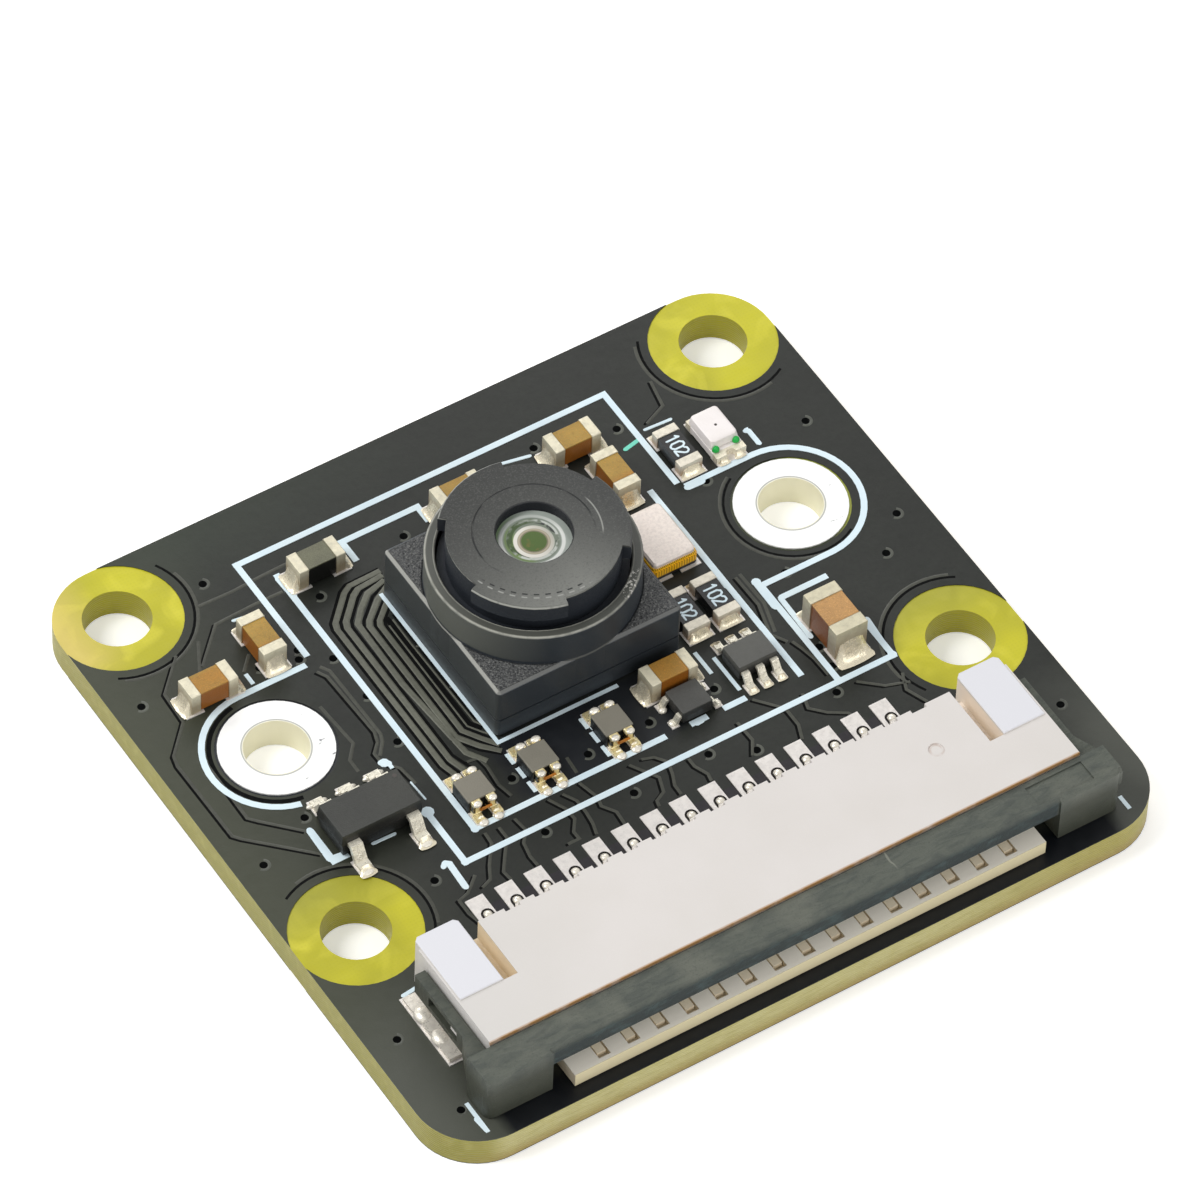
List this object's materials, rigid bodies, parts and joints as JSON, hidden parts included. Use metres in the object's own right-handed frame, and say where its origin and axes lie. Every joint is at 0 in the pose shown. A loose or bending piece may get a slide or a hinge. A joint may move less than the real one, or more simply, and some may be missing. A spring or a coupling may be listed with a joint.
{
  "type": "camera board with flat-cable socket",
  "caption": "Small square circuit board with a screw-focus lens in a square black holder, a flat-cable socket along one edge and fixing holes.",
  "frame": {"origin": "middle of the board's underside", "axes": "+X along the socket, to its right seen from the cable side; +Y away from the socket; +Z out of the lens"},
  "size_m": [0.025, 0.024, 0.0053],
  "materials": {
    "board_fibreglass": "bare glass-fibre board, satin",
    "solder_mask": "dark grey lacquer, semi-gloss",
    "tinned_copper": "tinned, slightly uneven",
    "white_ink": "matte printed ink",
    "black_holder_plastic": "moulded, fine texture",
    "black_glue": "cured glue",
    "filter_glass": "coated glass",
    "silicon": "polished silicon",
    "cover_glass": "clear glass",
    "solder": "bright, rounded",
    "barrel_plastic": "moulded, satin",
    "lens_plastic": "clear, coated green",
    "black_ring": "matte black",
    "ivory_plastic": "moulded, satin",
    "grey_slider_plastic": "moulded, satin",
    "contact_alloy": "tinned spring alloy",
    "capacitor_ceramic": "satin fired ceramic",
    "ferrite": "satin fired ferrite",
    "end_cap_tin": "fine grain tin",
    "resistor_black": "glossy coating",
    "crystal_ceramic": "satin ceramic",
    "gold_plating": "gold plated",
    "lid_metal": "plated lid, satin",
    "lamp_plastic": "milky moulded",
    "package_black": "moulded compound",
    "filter_grey": "fired ferrite"
  },
  "bodies": {
    "board": {"board_core": "board_fibreglass", "solder_mask_top": "solder_mask", "solder_mask_bottom": "solder_mask", "plated_hole_left": "tinned_copper", "plated_hole_right": "tinned_copper", "printed_lines": "white_ink", "component_pads": "tinned_copper", "socket_pads": "tinned_copper", "lens_holder": "black_holder_plastic", "holder_glue": "black_glue", "infrared_filter": "filter_glass", "sensor_solder_balls": "solder", "sensor_die": "silicon", "sensor_cover_glass": "cover_glass", "socket_housing": "ivory_plastic", "socket_contacts": "contact_alloy", "socket_anchor_tabs": "contact_alloy", "capacitor_bodies": "capacitor_ceramic", "capacitor_end_caps": "end_cap_tin", "ferrite_bead_body": "ferrite", "ferrite_bead_end_caps": "end_cap_tin", "large_capacitor_body": "capacitor_ceramic", "large_capacitor_end_caps": "end_cap_tin", "resistor_bodies": "resistor_black", "resistor_end_caps": "end_cap_tin", "crystal_base": "crystal_ceramic", "crystal_seal_ring": "gold_plating", "crystal_lid": "lid_metal", "indicator_lamp_base": "lamp_plastic", "indicator_lamp_lens": "lamp_plastic", "indicator_lamp_ends": "gold_plating", "regulator_body": "package_black", "regulator_leads": "tinned_copper", "switch_chip_body": "package_black", "switch_chip_leads": "tinned_copper", "sense_chip_body": "package_black", "sense_chip_leads": "tinned_copper", "line_filter_bodies": "filter_grey", "line_filter_terminals": "end_cap_tin"},
    "slider": {"socket_slider": "grey_slider_plastic"},
    "lens_stack": {"front_lens_element": "lens_plastic", "light_stop": "black_ring", "middle_lens_element": "lens_plastic", "lens_spacer_ring": "black_ring", "rear_lens_element": "lens_plastic"},
    "barrel": {"lens_barrel": "barrel_plastic", "lens_retaining_ring": "black_ring"}
  },
  "joints": [
    {"name": "cable_clamp", "type": "slide", "parent": "board", "child": "slider", "axis": [0, -1, 0], "range_m": [0, 0.001]},
    {"name": "focus_travel", "type": "slide", "parent": "board", "child": "lens_stack", "axis": [0, 0, 1], "range_m": [-0.000175, 0.000175]},
    {"name": "focus_turn", "type": "hinge", "parent": "lens_stack", "child": "barrel", "pos_m": [-0.00009, 0.00357, 0], "axis": [0, 0, 1], "range_deg": [-180, 180]}
  ],
  "couplings": [
    {"joint": "focus_turn", "follows": "focus_travel", "rad_per_m": 17952}
  ]
}
